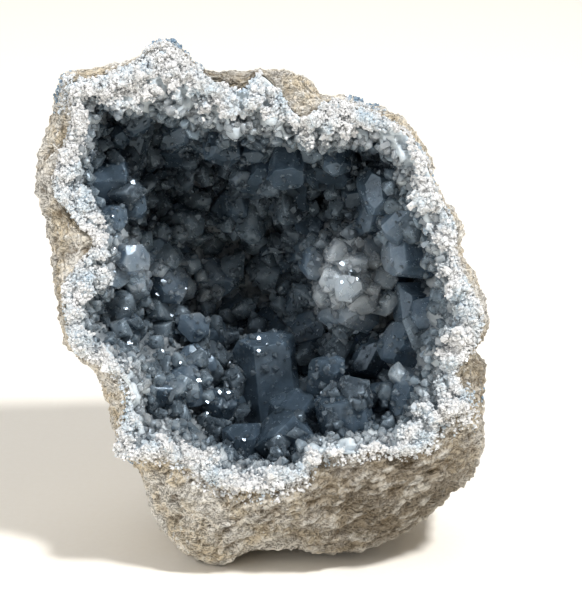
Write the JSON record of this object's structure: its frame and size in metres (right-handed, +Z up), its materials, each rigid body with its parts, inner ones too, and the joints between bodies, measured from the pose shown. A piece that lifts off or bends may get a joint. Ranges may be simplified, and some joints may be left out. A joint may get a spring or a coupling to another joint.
{
  "type": "celestite geode",
  "caption": "Broken-open celestite geode standing on its limestone rind, with a deep hollow of blocky blue-grey crystals behind a pale druse rim.",
  "frame": {"origin": "bottom centre of the bounding box, on the surface that the geode stands on", "axes": "+Z up, +Y back into the rock, -Y out of the mouth, +X to the right of someone looking into the hollow"},
  "size_m": [0.1542, 0.1248, 0.1802],
  "materials": {
    "limestone": "rough, pitted, sandy",
    "celestite": "glassy blue-grey crystal faces, sugary white at the rim"
  },
  "bodies": {
    "root": {"rock_shell": "limestone", "crystal_crust": "celestite"}
  },
  "joints": []
}
